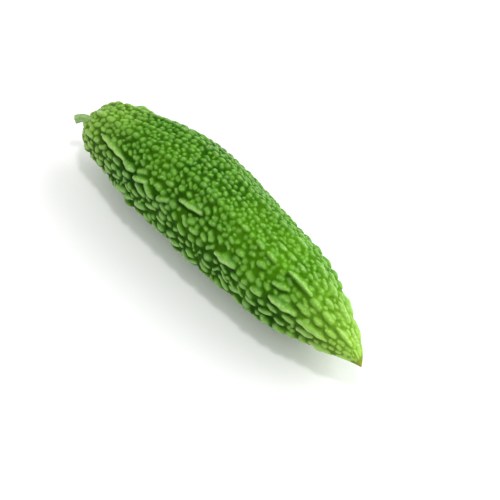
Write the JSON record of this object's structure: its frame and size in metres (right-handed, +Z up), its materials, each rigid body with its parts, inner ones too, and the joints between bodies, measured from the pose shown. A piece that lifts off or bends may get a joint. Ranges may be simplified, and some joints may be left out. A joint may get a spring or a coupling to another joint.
{
  "type": "bitter gourd",
  "caption": "Long warty green bitter gourd lying on its side, tapering to a pointed tip, with long ridges broken into round warts and a short curved stem.",
  "frame": {"origin": "below the middle of the gourd's bounding box, on the surface that it lies on", "axes": "+X along the fruit towards its pointed tip, the stem end at -X; +Y the way the middle of the fruit bows; +Z up"},
  "size_m": [0.2296, 0.0604, 0.0576],
  "materials": {
    "gourd_skin": "waxy green skin, paler and yellower on the warts and towards the tip",
    "stem_green": "dull pale green, ribbed, with a cut end"
  },
  "bodies": {
    "root": {"fruit": "gourd_skin", "stem": "stem_green"}
  },
  "joints": []
}
